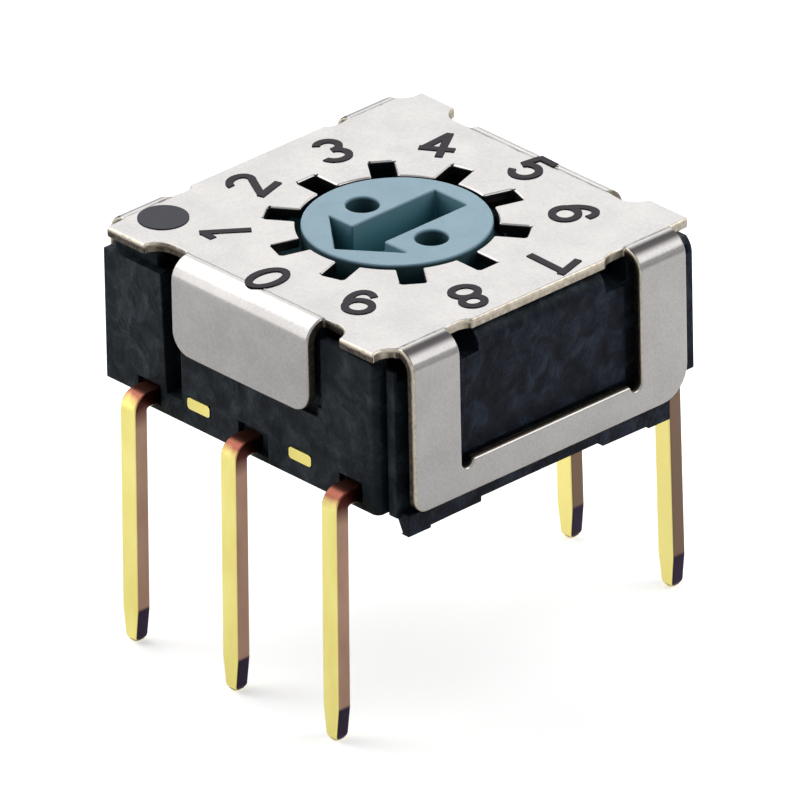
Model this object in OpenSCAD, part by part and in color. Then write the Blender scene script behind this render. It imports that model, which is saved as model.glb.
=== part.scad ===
// Ten position rotary coded switch for a printed circuit board, seven millimetre size.
// Millimetres. +Z is up from the board, the pin rows run along X.
// The origin is on the dial's axis, at the height of the feet's undersides.

/* [Body] */
// Length of the body along the pin rows
body_x = 7.24; // [7.1:0.02:7.8]
// Depth of the body over its two end faces
body_y = 7.06; // [6.9:0.02:7.6]
// Height of the body's top, where the cover lies, above the board
body_top = 3.33; // [3.2:0.01:4.2]
// Height of the end faces' lower edge above the board
end_gap = 0.33; // [0.2:0.01:0.4]
// How far the corner posts stand back from the end faces
post_back = 0.17; // [0.1:0.01:0.3]
// Depth of the channel that each strap of the cover lies in
channel_d = 0.12; // [0.05:0.01:0.2]
// Half length of the block that fills a strap's window
block_half = 1.94; // [1.6:0.02:2.0]
// Radius of the body's upper side edges
edge_r = 0.35; // [0.25:0.01:0.5]
// Stand-out of the side rails from the body's sides
rail_proud = 0.07; // [0.03:0.01:0.15]
// Width of the feet and rails under the sides
rail_w = 0.3; // [0.2:0.02:0.5]
// Gap between the board and the ends of the rails
rail_gap = 0.06; // [0.04:0.01:0.12]
// Gap between the board and the middle of the rails
rail_mid_gap = 0.17; // [0.13:0.01:0.2]
// Length of a foot
foot_l = 0.52; // [0.4:0.02:0.8]

/* [End faces] */
// Left side of the long groove beside a tab, from the middle
groove_left = 2.1; // [2.05:0.01:2.3]
// Height of the long groove's lower end
groove_low = 0.74; // [0.65:0.01:1.2]
// Left side of the block right of a tab, from the middle
pad_right_in = 1.83; // [1.8:0.01:2.0]
// Right end of that block, from the middle
pad_right_out = 3.22; // [3.1:0.01:3.3]
// Height of the short groove's lower end
step_top = 1.9; // [1.85:0.01:2.2]
// Height of the left block's top below the body's top
pad_left_drop = 0.32; // [0.1:0.01:0.4]
// Height of the right block's top below the body's top
pad_right_drop = 0.1; // [0.05:0.01:0.3]
// Height of the rear face's left block below the body's top
rear_pad_drop = 0.07; // [0.05:0.01:0.3]
// Radius of the right block's upper outer corner
pad_corner_r = 0.22; // [0.1:0.01:0.3]
// Lean of the long groove's outer side, from bottom to top
groove_lean = 0.1; // [0:0.01:0.15]
// Width of the fine groove beside a corner post
post_groove_w = 0.08; // [0.05:0.01:0.12]
// Height of the open slit below a tab
tab_shadow = 0.06; // [0.03:0.01:0.1]
// Depth of the grooves behind the end faces
groove_deep = 0.45; // [0.3:0.01:0.5]
// Height of the body's lower edge outside the front left pin
front_cut = 0.5; // [0.45:0.01:0.8]
// Height of the body's lower edge outside the rear right pin
rear_cut = 0.74; // [0.45:0.01:0.8]
// Depth of the pockets in the body's top under the cover's notches
top_pocket = 0.4; // [0.3:0.01:0.5]
// Height of the corner posts below the body's top
post_drop = 0.2; // [0.15:0.01:0.3]
// Height of the band that leans in along the lower edge
toe_h = 0.23; // [0.1:0.01:0.25]
// How far that band leans in
toe_in = 0.05; // [0.02:0.01:0.1]

/* [Cover] */
// Thickness of the cover's sheet
cover_t = 0.2; // [0.15:0.01:0.25]
// Outer radius of the cover's bends
bend_r = 0.4; // [0.35:0.01:0.5]
// Gap between the straps and the body's sides
strap_gap = 0.02; // [0.01:0.01:0.05]
// How far the tabs stand out from the end faces
tab_proud = 0.19; // [0.16:0.01:0.3]
// Half length of a strap along the side
strap_half = 3.2; // [3.1:0.01:3.25]
// Width of a strap's legs
leg_w = 1.09; // [0.9:0.01:1.2]
// Height of a strap's crossbar
bar_h = 0.61; // [0.4:0.01:0.7]
// Height of a strap's lower edge above the board
strap_low = 0.45; // [0.42:0.01:0.6]
// Corner radius at the end of a strap nearest the long groove
strap_r_big = 0.6; // [0.3:0.01:0.6]
// Corner radius at a strap's other end
strap_r_small = 0.26; // [0.2:0.01:0.4]
// Half width of a tab
tab_half = 1.72; // [1.4:0.01:1.75]
// Height of a tab's lower edge above the board
tab_low = 1.77; // [1.75:0.01:2.2]
// Corner radius of a tab's lower corners
tab_r = 0.42; // [0.2:0.01:0.6]
// Half depth of the flat plate beside the tabs
plate_y_half = 3.65; // [3.6:0.01:3.7]
// Half length of the flat plate over the straps' windows
plate_x_half = 3.55; // [3.5:0.01:3.6]
// Half length of the flat plate at its corners
plate_corner = 3.41; // [3.3:0.01:3.45]
// Width of the relief notches beside the tabs
tab_relief = 0.72; // [0.4:0.02:0.8]
// Width of the relief notches beside the straps' legs and at the corners
relief_w = 0.62; // [0.4:0.02:0.7]
// Radius of the small reliefs in the windows' lower corners
window_r = 0.13; // [0.08:0.01:0.18]

/* [Dial] */
// Number of positions
positions = 10; // [10]
// Radius of the round opening round the rotor
opening_r = 1.75; // [1.72:0.01:1.85]
// Outer end of the radial slots
slot_end_r = 2.3; // [2.1:0.01:2.35]
// Width of the radial slots
slot_w = 0.44; // [0.3:0.01:0.5]
// Radius of the circle that the digits stand on
digit_ring_r = 3.0; // [2.85:0.01:3.05]
// Height of the digits
digit_h = 0.9; // [0.6:0.01:0.95]
// Width of the digits
digit_w = 0.61; // [0.4:0.01:0.65]
// Width of the digits' strokes
stroke_w = 0.14; // [0.08:0.01:0.16]
// Turn of the printed ring against the slots in degrees
print_turn = 2; // [0:0.1:3]
// Shift of the printed ring along the pin rows
print_shift = 0.07; // [0:0.01:0.1]
// Thickness of the printing ink
ink_t = 0.015; // [0.01:0.005:0.02]
// Radius of the index dot
dot_r = 0.45; // [0.3:0.01:0.5]
// Distance of the index dot left of the dial's axis
dot_x = 2.96; // [2.8:0.01:3.0]
// Distance of the index dot in front of the dial's axis
dot_y = 2.73; // [2.6:0.01:2.8]

/* [Rotor] */
// Radius of the rotor's head
head_r = 1.66; // [1.5:0.01:1.68]
// Height of the head above the cover
head_proud = 0.02; // [0:0.01:0.2]
// Chamfer round the head's top
head_chamfer = 0.05; // [0.03:0.01:0.08]
// Radius of the rotor's flange under the cover
flange_r = 2.4; // [2.36:0.01:2.5]
// Thickness of the flange
flange_t = 0.4; // [0.36:0.01:0.5]
// Gap between the flange and the cover
flange_gap = 0.46; // [0.4:0.01:0.6]
// Radius of the rotor's lower drum
drum_r = 2.05; // [1.9:0.01:2.2]
// Running clearance round the rotor
run_gap = 0.04; // [0.02:0.01:0.08]
// Depth of the arrow shaped driver slot
arrow_d = 0.75; // [0.5:0.01:0.85]
// Half width of the arrow's shaft
arrow_shaft = 0.4; // [0.3:0.01:0.45]
// Distance of the shaft's blunt end from the axis
arrow_tail = 1.27; // [1.0:0.01:1.35]
// Distance of the arrow's tip from the axis
arrow_tip = 1.46; // [1.3:0.01:1.5]
// Half width of the arrow's head
arrow_half = 0.98; // [0.8:0.01:1.1]
// Distance of the arrow head's shoulders from the axis
arrow_neck = 0.68; // [0.5:0.01:0.8]
// Radius of the two round holes
pit_r = 0.295; // [0.2:0.005:0.3]
// Distance of the round holes from the axis
pit_x = 0.87; // [0.82:0.01:0.95]
// Depth of the round holes
pit_d = 0.5; // [0.3:0.01:0.7]

/* [Seal, detent and brush] */
// Section diameter of the sealing ring
seal_d = 0.5; // [0.4:0.01:0.55]
// Thickness of the click spring
spring_t = 0.12; // [0.08:0.01:0.14]
// Half width of the click spring's two humps
hump_half = 0.33; // [0.28:0.01:0.36]
// Gap between the humps and the cover's underside
hump_gap = 0.03; // [0.02:0.01:0.06]
// Thickness of the contact brush
brush_t = 0.1; // [0.08:0.01:0.12]
// Radius of the contact brush
brush_r = 1.75; // [1.7:0.01:1.85]
// Width of the brush's fingers
finger_w = 0.36; // [0.2:0.01:0.4]
// Gap between the fingers and the contact tracks
finger_gap = 0.03; // [0.02:0.01:0.06]
// Radius of the rotor's two stakes through the brush
stake_r = 0.14; // [0.1:0.01:0.18]
// Distance of the stakes from the axis
stake_y = 0.84; // [0.8:0.01:0.9]

/* [Terminals] */
// Pitch of the pins in a row
pitch = 2.54; // [2.54]
// Distance between the two pin rows at the body
row_pitch = 7.8; // [7.6:0.01:7.9]
// Width of a pin
pin_w = 0.4; // [0.3:0.01:0.45]
// Thickness of a pin
pin_t = 0.3; // [0.22:0.01:0.31]
// Reach of the pins below the board's top
pin_reach = 4.05; // [2.5:0.01:5.0]
// Outer radius of the pins' bends
pin_bend_r = 0.34; // [0.34:0.01:0.5]
// Outward lean of the pins in degrees
pin_lean = 0.8; // [0:0.1:4]
// Length of a pin's pointed end
tip_l = 0.65; // [0.4:0.01:0.9]
// Width of a pin's blunt tip
tip_w = 0.23; // [0.1:0.01:0.28]
// Thickness of a pin's blunt tip
tip_t = 0.28; // [0.16:0.01:0.29]
// Height of a pin's top face, where it leaves the body, above the board
pin_top = 0.74; // [0.7:0.01:0.8]
// Height of the contact tracks' top face above the board
track_top = 0.88; // [0.86:0.01:0.95]
// Thickness of the contact tracks and tie bars
track_t = 0.22; // [0.18:0.01:0.26]
// Distance of the cut tie bars from the middle of an end face
tie_x = 1.28; // [1.1:0.01:1.4]
// Width of the cut tie bars
tie_w = 0.56; // [0.4:0.01:0.6]
// Stand-out of the cut tie bars and gap above the pins in their pockets
tie_proud = 0.01; // [0.01:0.01:0.02]
// Depth of the pins' pockets in the end faces
pocket_d = 0.12; // [0.08:0.01:0.16]
// Gap round the pins in their pockets
pocket_gap = 0.08; // [0.04:0.01:0.1]

/* [Hidden] */
$fn = 64;
eps = 0.01;                                      // overlap of cutters past the faces they cut

// Body
side = body_x / 2;
face = body_y / 2;
post_face = face - post_back;
channel = side - channel_d;
wall_low = end_gap;
pad_left_top = body_top - pad_left_drop;
pad_right_top = body_top - pad_right_drop;
rear_pad_top = body_top - rear_pad_drop;

// Cover
plate_top = body_top + cover_t;
strap_in = side + strap_gap;
strap_out = strap_in + cover_t;
tab_out = face + tab_proud;
rail_out = side + rail_proud;
strap_bend = strap_out - bend_r;                 // where the straps' bends start
tab_bend = tab_out - bend_r;                     // where the tabs' bends start
window_half = strap_half - leg_w;
window_low = strap_low + bar_h;

// Rotor, from the cover down
head_top = plate_top + head_proud;
flange_top = body_top - flange_gap;
flange_low = flange_top - flange_t;
seal_low = flange_low - seal_d;
cavity_r = flange_r + run_gap;
drum_low = track_top + 0.42;                     // leaves the brush its room over the tracks
step_z = seal_low - run_gap;                     // floor of the upper cavity
neck_r = cavity_r - 2 * run_gap - seal_d;
step_deg = 360 / positions;

// Click spring, let into the flange
hump_top = body_top - hump_gap;
spring_low = flange_low + 0.13;
spring_in_r = neck_r + 0.06;
spring_out_r = flange_r - 0.1;
hump_angles = [72, 252];

// Terminals
tip_z = -pin_reach;
pin_in_r = pin_bend_r - pin_t;
pin_bend_z = pin_top - pin_bend_r;
pin_bend_y = row_pitch / 2 + pin_t / 2 - pin_bend_r;
pocket_back = face - pocket_d;                   // back wall of the pins' pockets
track_end = pocket_back - 0.06;                  // the tracks end just inside the pockets
stub_l = 0.25;
common_disc_r = 0.72;
code_in_r = 0.95;
code_out_r = 1.85;
arm_w = 0.5;

// A straight stroke of a digit from p to q, in units of the digit's half sizes
module bar_stroke(p, q) {
    d = q - p;
    l = norm(d);
    n = [-d[1], d[0]] * stroke_w / 2 / l;
    polygon([p + n, p - n, q - n, q + n]);
}

// A curved stroke on an ellipse with half sizes a and b round c, from angle f to angle t
module arc_stroke(c, a, b, f, t) {
    n = ceil(abs(t - f) / 15);
    h = stroke_w / 2;
    polygon(concat(
        [for (i = [0:n]) let (g = f + (t - f) * i / n) c + [(a + h) * cos(g), (b + h) * sin(g)]],
        [for (i = [n:-1:0]) let (g = f + (t - f) * i / n) c + [(a - h) * cos(g), (b - h) * sin(g)]]));
}

// A closed oval stroke
module oval_stroke(c, a, b) {
    arc_stroke(c, a, b, 0, 190);
    arc_stroke(c, a, b, 180, 370);
}

// One digit, upright round the origin
module digit(n) {
    x = (digit_w - stroke_w) / 2;
    y = (digit_h - stroke_w) / 2;
    h = digit_h / 2;
    w = digit_w / 2;
    if (n == 0) oval_stroke([0, 0], x, y);
    if (n == 1) {
        bar_stroke([0.2 * w, -h], [0.2 * w, h]);
        bar_stroke([0.2 * w, 0.86 * h], [-0.6 * w, 0.5 * h]);
    }
    if (n == 2) {
        arc_stroke([0, 0.5 * y], x, 0.5 * y, 165, -40);
        bar_stroke([0.84 * x, 0.26 * y], [-x, -0.95 * y]);
        bar_stroke([-w, -y], [w, -y]);
    }
    if (n == 3) {
        arc_stroke([0, 0.52 * y], 0.86 * x, 0.48 * y, 160, -90);
        arc_stroke([0, -0.48 * y], x, 0.52 * y, 90, -160);
    }
    if (n == 4) {
        bar_stroke([0.4 * x, h], [0.4 * x, -h]);
        bar_stroke([-1.05 * w, -0.42 * y], [1.05 * w, -0.42 * y]);
        bar_stroke([0.3 * x, 0.98 * y], [-1.05 * x, -0.45 * y]);
    }
    if (n == 5) {
        bar_stroke([-0.95 * x, y], [0.9 * x, y]);
        bar_stroke([-0.76 * x, y], [-0.95 * x, 0]);
        arc_stroke([0, -0.36 * y], x, 0.64 * y, 152, -155);
    }
    if (n == 6) {
        oval_stroke([0, -0.4 * y], x, 0.6 * y);
        arc_stroke([0, 0], x, y, 35, 195);
    }
    if (n == 7) {
        bar_stroke([-w, y], [w, y]);
        bar_stroke([0.9 * x, 1.1 * y], [-0.25 * x, -h]);
    }
    if (n == 8) {
        oval_stroke([0, 0.53 * y], 0.84 * x, 0.47 * y);
        oval_stroke([0, -0.47 * y], x, 0.53 * y);
    }
    if (n == 9) rotate(180) digit(6);
}

// A quarter round, taken off an edge along X, l long; the edge is at the origin
module round_off(r, l) {
    translate([-l / 2, 0, 0]) rotate([90, 0, 90]) linear_extrude(l) difference() {
        translate([-r, -r]) square(r + eps);
        translate([-r, -r]) circle(r);
    }
}

// A strip bent down at its end: the flat starts at y = 0, z = 0, the outer face ends at y = bend_r
module bent_strip(w, drop) {
    translate([-w / 2, 0, 0]) rotate([90, 0, 90]) linear_extrude(w) {
        intersection() {
            translate([0, -bend_r]) difference() {
                circle(bend_r);
                circle(bend_r - cover_t);
            }
            translate([0, -bend_r]) square(bend_r);
        }
        translate([bend_r - cover_t, -drop]) square([cover_t, drop - bend_r]);
    }
}

// Outline of the cover's flat plate with its notches, before the dial's opening
module plate_outline() {
    difference() {
        union() {
            square([2 * plate_corner, 2 * plate_y_half], center = true);
            square([2 * plate_x_half, 2 * (window_half - relief_w)], center = true);
            square([2 * strap_bend, 2 * strap_half], center = true);
        }
        for (turn = [0, 180]) rotate(turn) {
            translate([-tab_half - tab_relief / 2, -tab_bend - tab_relief])
                square([2 * tab_half + tab_relief, tab_relief]);
            for (s = [-1, 1]) {
                translate([s * (tab_half + tab_relief / 2), -tab_bend - tab_relief / 2]) relief(tab_relief);
                translate([strap_bend + relief_w / 2, s * (window_half - relief_w / 2)])
                    rotate(90) relief(relief_w);
            }
            translate([strap_bend + relief_w / 4, -strap_half - relief_w / 2]) circle(relief_w / 2);
        }
    }
}

// A round ended relief notch of width w, open towards -Y
module relief(w) {
    circle(w / 2);
    translate([-w / 2, -w]) square([w, w]);
}

// Round opening with its radial detent slots
module dial_opening() {
    circle(opening_r);
    for (i = [0:positions - 1]) rotate(i * step_deg)
        translate([0, -slot_w / 2]) square([slot_end_r, slot_w]);
}

// A tab's flat end: rounded lower corners
module tab_blank() {
    translate([0, 0, tab_low]) rotate([90, 0, 0]) linear_extrude(tab_out + 1) {
        translate([-tab_half + tab_r, 0]) square([2 * (tab_half - tab_r), 5]);
        translate([-tab_half, tab_r]) square([2 * tab_half, 5]);
        for (s = [-1, 1]) translate([s * (tab_half - tab_r), tab_r]) circle(tab_r);
    }
}

// A strap's outline with its window, seen from +X: the first coordinate runs along +Y
module strap_outline() {
    tall = plate_top - strap_low + 1;
    difference() {
        union() {
            translate([-strap_half + strap_r_small, 0])
                square([2 * strap_half - strap_r_small - strap_r_big, tall]);
            translate([-strap_half, strap_r_small]) square([strap_half, tall]);
            translate([0, strap_r_big]) square([strap_half, tall]);
            translate([-strap_half + strap_r_small, strap_r_small]) circle(strap_r_small);
            translate([strap_half - strap_r_big, strap_r_big]) circle(strap_r_big);
        }
        translate([-window_half, bar_h]) square([2 * window_half, tall]);
        for (s = [-1, 1]) translate([s * (window_half - window_r), bar_h]) circle(window_r);
    }
}

module cover() {
    color([0.84, 0.83, 0.81]) {
        translate([0, 0, body_top]) linear_extrude(cover_t) difference() {
            plate_outline();
            dial_opening();
        }
        for (turn = [0, 180]) rotate([0, 0, turn]) {
            intersection() {
                translate([0, -tab_bend, plate_top]) rotate([0, 0, 180])
                    bent_strip(2 * tab_half, plate_top - tab_low);
                tab_blank();
            }
            intersection() {
                translate([strap_bend, 0, plate_top]) rotate([0, 0, -90])
                    bent_strip(2 * strap_half, plate_top - strap_low);
                translate([0, 0, strap_low]) rotate([90, 0, 90]) linear_extrude(strap_out + 1)
                    strap_outline();
            }
        }
    }
}

module dial_digits() {
    color([0.08, 0.06, 0.09])
        translate([print_shift, 0, plate_top]) linear_extrude(ink_t)
            for (n = [0:positions - 1]) rotate(270 - print_turn - n * step_deg)
                translate([digit_ring_r, 0]) rotate(-90) digit(n);
}

module index_dot() {
    color([0.27, 0.27, 0.3])
        translate([-dot_x, -dot_y, plate_top]) cylinder(r = dot_r, h = ink_t);
}

// Arrow shaped driver slot, pointing to -Y
module arrow_outline() {
    polygon([[-arrow_shaft, arrow_tail], [-arrow_shaft, -arrow_neck], [-arrow_half, -arrow_neck],
             [0, -arrow_tip], [arrow_half, -arrow_neck], [arrow_shaft, -arrow_neck],
             [arrow_shaft, arrow_tail]]);
}

// Room in the flange for the click spring's ring and humps
module spring_room() {
    translate([0, 0, spring_low]) difference() {
        cylinder(r = spring_out_r, h = spring_t);
        translate([0, 0, -eps]) cylinder(r = spring_in_r, h = spring_t + 2 * eps);
    }
    for (a = hump_angles) rotate([0, 0, a])
        translate([spring_in_r, -hump_half - run_gap, spring_low])
            cube([spring_out_r - spring_in_r, 2 * (hump_half + run_gap), flange_t + flange_gap]);
}

module rotor() {
    color([0.57, 0.66, 0.71]) difference() {
        union() {
            translate([0, 0, flange_top - eps])
                cylinder(r = head_r, h = head_top - head_chamfer - flange_top + eps);
            translate([0, 0, head_top - head_chamfer])
                cylinder(r1 = head_r, r2 = head_r - head_chamfer, h = head_chamfer);
            translate([0, 0, flange_low]) cylinder(r = flange_r, h = flange_t);
            translate([0, 0, drum_low]) cylinder(r = neck_r, h = flange_low - drum_low + eps);
            translate([0, 0, drum_low]) cylinder(r = drum_r, h = step_z - run_gap - drum_low);
            for (s = [-1, 1]) translate([0, s * stake_y, drum_low - brush_t - 0.06])
                cylinder(r = stake_r, h = brush_t + 0.06 + eps);
        }
        translate([0, 0, head_top - arrow_d]) linear_extrude(arrow_d + eps) arrow_outline();
        for (s = [-1, 1]) translate([s * pit_x, 0, head_top - pit_d])
            cylinder(r = pit_r, h = pit_d + eps);
        spring_room();
    }
}

module click_spring() {
    hump_z = hump_top - hump_half;
    color([0.72, 0.66, 0.55]) {
        translate([0, 0, spring_low]) difference() {
            cylinder(r = spring_out_r, h = spring_t);
            translate([0, 0, -eps]) cylinder(r = spring_in_r, h = spring_t + 2 * eps);
            for (a = hump_angles) rotate([0, 0, a])
                translate([0, -hump_half + spring_t, -eps])
                    cube([flange_r, 2 * (hump_half - spring_t), spring_t + 2 * eps]);
        }
        for (a = hump_angles) rotate([0, 0, a]) intersection() {
            translate([spring_in_r, 0, hump_z]) rotate([90, 0, 90])
                linear_extrude(spring_out_r - spring_in_r) difference() {
                    union() {
                        circle(hump_half);
                        translate([-hump_half, spring_low - hump_z])
                            square([2 * hump_half, hump_z - spring_low]);
                    }
                    circle(hump_half - spring_t);
                    translate([-hump_half + spring_t, spring_low - hump_z - eps])
                        square([2 * (hump_half - spring_t), hump_z - spring_low + eps]);
                    translate([-hump_half - eps, -2 * hump_half + spring_low - hump_z])
                        square([2 * hump_half + 2 * eps, 2 * hump_half]);
                }
            cylinder(r = spring_out_r, h = head_top);
        }
    }
}

module seal_ring() {
    color([0.25, 0.13, 0.1])
        translate([0, 0, step_z + seal_d / 2])
            rotate_extrude() translate([neck_r + run_gap + seal_d / 2, 0]) circle(seal_d / 2);
}

// One sprung finger of the brush, reaching along +X from the plate down to its track
module finger(l) {
    top = drum_low - brush_t;
    tip_r = 0.1;
    tip = track_top + finger_gap + tip_r;
    rotate([90, 0, 0]) translate([0, 0, -finger_w / 2]) linear_extrude(finger_w) {
        polygon([[0, top + brush_t], [0, top], [l, tip - tip_r / 2], [l, tip + tip_r / 2]]);
        translate([l, tip]) circle(tip_r);
    }
}

module contact_brush() {
    root = brush_r / 6;
    inner_y = brush_r / 6;
    outer_y = 0.77 * brush_r;
    finger_l = brush_r / 2;
    slit_l = 0.88 * brush_r;
    slit_w = finger_w + 3 * finger_gap;
    color([0.85, 0.7, 0.35]) {
        translate([0, 0, drum_low - brush_t]) difference() {
            cylinder(r = brush_r, h = brush_t);
            for (s = [-1, 1]) {
                translate([0, s * stake_y, -eps]) cylinder(r = stake_r, h = brush_t + 2 * eps);
                translate([s > 0 ? -root : root - slit_l, s * inner_y - slit_w / 2, -eps])
                    cube([slit_l, slit_w, brush_t + 2 * eps]);
            }
            for (turn = [0, 180]) rotate([0, 0, turn])
                translate([-root, outer_y - slit_w / 2, -eps])
                    cube([finger_l + root, slit_w, brush_t + 2 * eps]);
        }
        for (turn = [0, 180]) rotate([0, 0, turn]) {
            translate([-root - eps, inner_y, 0]) finger(finger_l);
            translate([-root - eps, outer_y, 0]) finger(finger_l);
        }
    }
}

// Blank of a pin's straight length in its own plane: a bar with a pointed, round ended tip
module pin_outline(w, l, tip) {
    r = tip / 2;
    translate([-w / 2, -l + tip_l]) square([w, l - tip_l]);
    polygon([[-w / 2, -l + tip_l + eps], [w / 2, -l + tip_l + eps], [r, -l + r], [-r, -l + r]]);
    translate([0, -l + r]) circle(r);
}

// A pin on the -Y side at x = 0: out of the body, round the bend and down
module pin() {
    l = (pin_bend_z - tip_z) / cos(pin_lean);
    translate([-pin_w / 2, 0, 0]) rotate([90, 0, -90]) mirror([1, 0, 0]) mirror([0, 0, 1])
        linear_extrude(pin_w) mirror([1, 0]) {
            translate([pin_bend_y, pin_bend_z]) intersection() {
                difference() {
                    circle(pin_bend_r);
                    circle(pin_in_r);
                }
                polygon([[0, 0], [0, 1], [1, 1], [cos(pin_lean), sin(pin_lean)]]);
            }
            translate([track_end - stub_l, pin_top - pin_t]) square([pin_bend_y - track_end + stub_l, pin_t]);
            translate([track_end - stub_l, pin_top - pin_t]) square([stub_l, track_top - pin_top + pin_t]);
        }
    translate([0, -pin_bend_y, pin_bend_z]) rotate([-pin_lean, 0, 0]) intersection() {
        translate([0, -pin_in_r, 0]) rotate([90, 0, 0]) linear_extrude(pin_t)
            pin_outline(pin_w, l, tip_w);
        translate([-pin_w, -pin_in_r - pin_t / 2, 0]) rotate([90, 0, 90]) linear_extrude(2 * pin_w)
            pin_outline(pin_t, l, tip_t);
    }
}

// Contact track of a code terminal in the front right quarter, down to its pin and tie bar
module code_track() {
    difference() {
        union() {
            intersection() {
                circle(code_out_r);
                rotate(-72) square(code_out_r);
                rotate(-18) translate([0, -code_out_r]) square(code_out_r);
            }
            translate([tie_x - tie_w / 2, -face - tie_proud]) square([tie_w, face + tie_proud - 1]);
            translate([tie_x, -2.6]) square([pitch - tie_x + pin_w / 2, arm_w]);
            translate([pitch - pin_w / 2, -track_end]) square([pin_w, track_end - 2.3]);
        }
        circle(code_in_r);
    }
}

// A code terminal in one quarter: m mirrors it to -X, turn carries it to +Y
module code_terminal(m, turn) {
    color([0.9, 0.8, 0.42]) rotate([0, 0, turn]) mirror([m, 0, 0]) {
        translate([0, 0, track_top - track_t]) linear_extrude(track_t) code_track();
        translate([pitch, 0, 0]) pin();
    }
}

module terminal_common() {
    color([0.9, 0.8, 0.42]) {
        translate([0, 0, track_top - track_t]) linear_extrude(track_t) {
            circle(common_disc_r);
            square([pin_w, 2 * track_end], center = true);
        }
        for (turn = [0, 180]) rotate([0, 0, turn]) pin();
    }
}

module terminal_1() { code_terminal(1, 0); }
module terminal_2() { code_terminal(0, 0); }
module terminal_4() { code_terminal(1, 180); }
module terminal_8() { code_terminal(0, 180); }

module all_terminals() {
    terminal_1();
    terminal_2();
    terminal_4();
    terminal_8();
    terminal_common();
}

// Outline of a raised end face: two blocks and the panel below the tab
module pad_outline(left_top) {
    flank = pad_right_out - pad_corner_r;
    difference() {
        union() {
            translate([-side, wall_low]) square([side, left_top - wall_low]);
            translate([-eps, wall_low]) square([pad_right_out + eps, pad_right_top - pad_corner_r - wall_low]);
            translate([-eps, wall_low]) square([flank + eps, pad_right_top - wall_low]);
            translate([flank, pad_right_top - pad_corner_r]) circle(pad_corner_r);
        }
        translate([-tab_half - eps, tab_low - tab_shadow])
            square([2 * tab_half + 2 * eps, body_top]);
    }
}

module end_pad(left_top) {
    difference() {
        translate([0, -post_face + eps, 0]) rotate([90, 0, 0]) linear_extrude(post_back + eps)
            pad_outline(left_top);
        // the right block's outer edge is rounded
        translate([pad_right_out, -face, body_top / 2]) rotate([0, 90, 0]) rotate([90, 0, 0])
            round_off(post_back - 0.04, body_top + 1);
        // the lower edge leans in
        translate([0, -face, end_gap + toe_h]) rotate([-atan(toe_in / toe_h), 0, 0])
            translate([-body_x, -1, -1]) cube([2 * body_x, 1, 1]);
    }
}

// Grooves on both sides of a tab and beside the corner post
module end_grooves() {
    translate([0, -face + groove_deep, 0]) rotate([90, 0, 0]) linear_extrude(groove_deep + eps) {
        polygon([[-groove_left, groove_low], [-tab_half, groove_low], [-tab_half, plate_top],
                 [-groove_left - groove_lean, plate_top]]);
        translate([tab_half, step_top]) square([pad_right_in - tab_half, body_top]);
    }
    translate([pad_right_out, -face - eps, end_gap - eps])
        cube([post_groove_w, post_back + post_groove_w + eps, body_top]);
}

// Pocket above and beside a pin, where it leaves the body; wide adds room on the right
module pin_pocket(wide) {
    translate([-pin_w / 2 - pocket_gap, -face - eps, pin_top - pin_t])
        cube([pin_w + 2 * pocket_gap + wide, pocket_d + eps, pin_t + pocket_gap + wide / 3]);
}

// Body cut away under a corner, outside the outer pin, up to the height top
module corner_cut(top) {
    translate([-side - eps, -face - eps, -eps])
        cube([side - pitch - pin_w / 2 - pocket_gap + eps, face - strap_half + strap_r_small + eps, top + eps]);
}

// Pockets in the body's top under the cover's notches
module top_pockets() {
    skin = 0.1;
    low = body_top - top_pocket;
    for (s = [-1, 1]) {
        translate([s * (tab_half + tab_relief / 2) - tab_relief / 2, -face + skin, low])
            cube([tab_relief, 0.6, top_pocket + eps]);
        translate([side - 0.65, s * (window_half - relief_w / 2) - relief_w / 2, low])
            cube([0.65 + eps, relief_w, top_pocket + eps]);
    }
    translate([side - 0.9, -post_face + skin, low]) cube([0.9 + eps, 0.6, top_pocket + eps]);
    translate([pad_right_out, -post_face - eps, body_top - post_drop])
        cube([side - pad_right_out + eps, 0.6, post_drop + eps]);
}

// Rail under a side with a foot near each end
module rail() {
    far = strap_half - 0.3;
    near = -post_face + 0.1;
    difference() {
        translate([rail_out - rail_w, near, 0]) cube([rail_w, far - near, strap_low - 0.03]);
        translate([rail_out - rail_w - eps, near + foot_l, -eps])
            cube([rail_w + 2 * eps, far - near - 2 * foot_l, rail_gap + eps]);
        translate([rail_out - rail_w - eps, near + 1.7, -eps])
            cube([rail_w + 2 * eps, far - near - 3.3, rail_mid_gap + eps]);
        // the inner face leans towards the foot's sole
        translate([rail_out - rail_w, 0, end_gap]) rotate([0, -28, 0])
            translate([-rail_w, -body_y, -end_gap]) cube([rail_w, 2 * body_y, end_gap]);
    }
}

module base_solid() {
    difference() {
        translate([-channel, -post_face, wall_low])
            cube([2 * channel, 2 * post_face, body_top - wall_low]);
        for (turn = [0, 180]) rotate([0, 0, turn]) top_pockets();
    }
    end_pad(pad_left_top);
    rotate([0, 0, 180]) end_pad(rear_pad_top);
    for (turn = [0, 180]) rotate([0, 0, turn]) {
        rail();
        // block that fills the strap's window
        difference() {
            translate([channel - eps, -block_half, window_low + 0.03])
                cube([channel_d + eps, 2 * block_half, body_top - window_low - 0.03]);
            top_pockets();
        }
    }
}

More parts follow.
